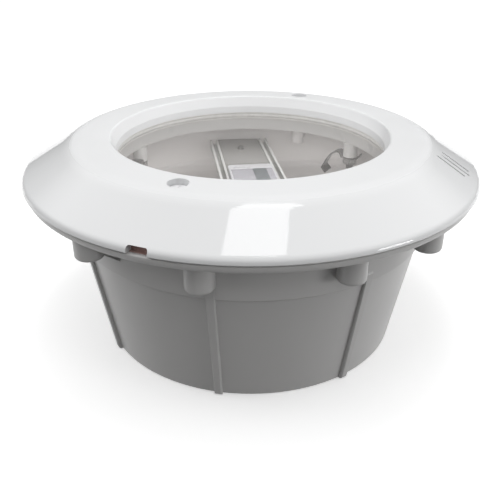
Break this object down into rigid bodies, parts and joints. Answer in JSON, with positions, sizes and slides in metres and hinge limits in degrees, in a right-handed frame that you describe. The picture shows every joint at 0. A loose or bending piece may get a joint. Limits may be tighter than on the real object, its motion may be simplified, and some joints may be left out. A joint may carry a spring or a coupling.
{
  "type": "underwater pool light",
  "caption": "Round recessed pool light: ribbed plastic niche, sloped face ring with clear lens, spring clips, and a lamp module on rails.",
  "frame": {"origin": "centre of the flat underside of the niche bucket, where the light stands when it is set down face up", "axes": "+Z is the way the light shines, out of the pool wall; +Y points to the side where the cable gland leaves the niche; +X completes a right-handed frame"},
  "size_m": [0.29, 0.29, 0.1342],
  "materials": {
    "niche_plastic": "satin moulded ABS",
    "face_plastic": "glossy moulded ABS",
    "screw_plastic": "moulded nylon head",
    "clear_lens": "clear polycarbonate",
    "seal_rubber": "moulded silicone",
    "lens_rubber": "pale grey silicone",
    "brown_rubber": "moulded silicone, reddish brown",
    "brass": "turned",
    "gland_plastic": "moulded nylon",
    "rail_aluminium": "extruded, natural anodised",
    "plate_aluminium": "brushed, anodised",
    "stainless": "turned stainless",
    "spring_steel": "bent stainless strip",
    "module_plastic": "moulded",
    "module_pane": "glossy opal polycarbonate",
    "board": "white solder mask",
    "led": "phosphor",
    "driver_plastic": "potted block"
  },
  "bodies": {
    "niche": {"niche_bucket": "niche_plastic", "niche_gasket": "brown_rubber", "thread_inserts": "brass", "gland_body": "gland_plastic", "gland_washer": "seal_rubber", "gland_locknut": "gland_plastic", "gland_seal": "seal_rubber", "gland_cap": "gland_plastic", "rail_left": "rail_aluminium", "rail_right": "rail_aluminium", "bracket_plate": "plate_aluminium", "bracket_screws": "spring_steel", "module_housing": "module_plastic", "module_seal": "seal_rubber", "module_cover": "module_plastic", "module_window": "module_pane", "led_board": "board", "led_chips": "led", "driver_unit": "driver_plastic", "module_screws": "stainless", "module_inlet": "gland_plastic"},
    "face": {"face_ring": "face_plastic", "lens": "clear_lens", "lens_gasket": "lens_rubber", "lens_retainer": "face_plastic", "clip_studs": "stainless", "clip_nuts": "stainless", "screw_seals": "seal_rubber"},
    "clip_rear_right": {"clip_rear_right": "spring_steel"},
    "clip_rear_left": {"clip_rear_left": "spring_steel"},
    "clip_front_left": {"clip_front_left": "spring_steel"},
    "clip_front_right": {"clip_front_right": "spring_steel"},
    "cover_screw_rear": {"cover_screw_rear": "screw_plastic"},
    "cover_screw_front": {"cover_screw_front": "screw_plastic"}
  },
  "joints": [
    {"name": "face_lift", "type": "slide", "parent": "niche", "child": "face", "axis": [0, 0, 1], "range_m": [0, 0.06]},
    {"name": "clip_rear_right_swing", "type": "hinge", "parent": "face", "child": "clip_rear_right", "pos_m": [0.07408, 0.05284, 0.0978], "axis": [0, 0, 1], "range_deg": [-20, 110]},
    {"name": "clip_rear_left_swing", "type": "hinge", "parent": "face", "child": "clip_rear_left", "pos_m": [-0.08035, 0.04272, 0.0978], "axis": [0, 0, 1], "range_deg": [-20, 110]},
    {"name": "clip_front_left_swing", "type": "hinge", "parent": "face", "child": "clip_front_left", "pos_m": [-0.07408, -0.05284, 0.0978], "axis": [0, 0, 1], "range_deg": [-20, 110]},
    {"name": "clip_front_right_swing", "type": "hinge", "parent": "face", "child": "clip_front_right", "pos_m": [0.08035, -0.04272, 0.0978], "axis": [0, 0, 1], "range_deg": [-20, 110]},
    {"name": "cover_screw_rear_turn", "type": "hinge", "parent": "face", "child": "cover_screw_rear", "pos_m": [0.03765, 0.09318, 0.1288], "axis": [0, 0, 1], "continuous": true},
    {"name": "cover_screw_front_turn", "type": "hinge", "parent": "face", "child": "cover_screw_front", "pos_m": [-0.03765, -0.09318, 0.1288], "axis": [0, 0, 1], "continuous": true}
  ]
}
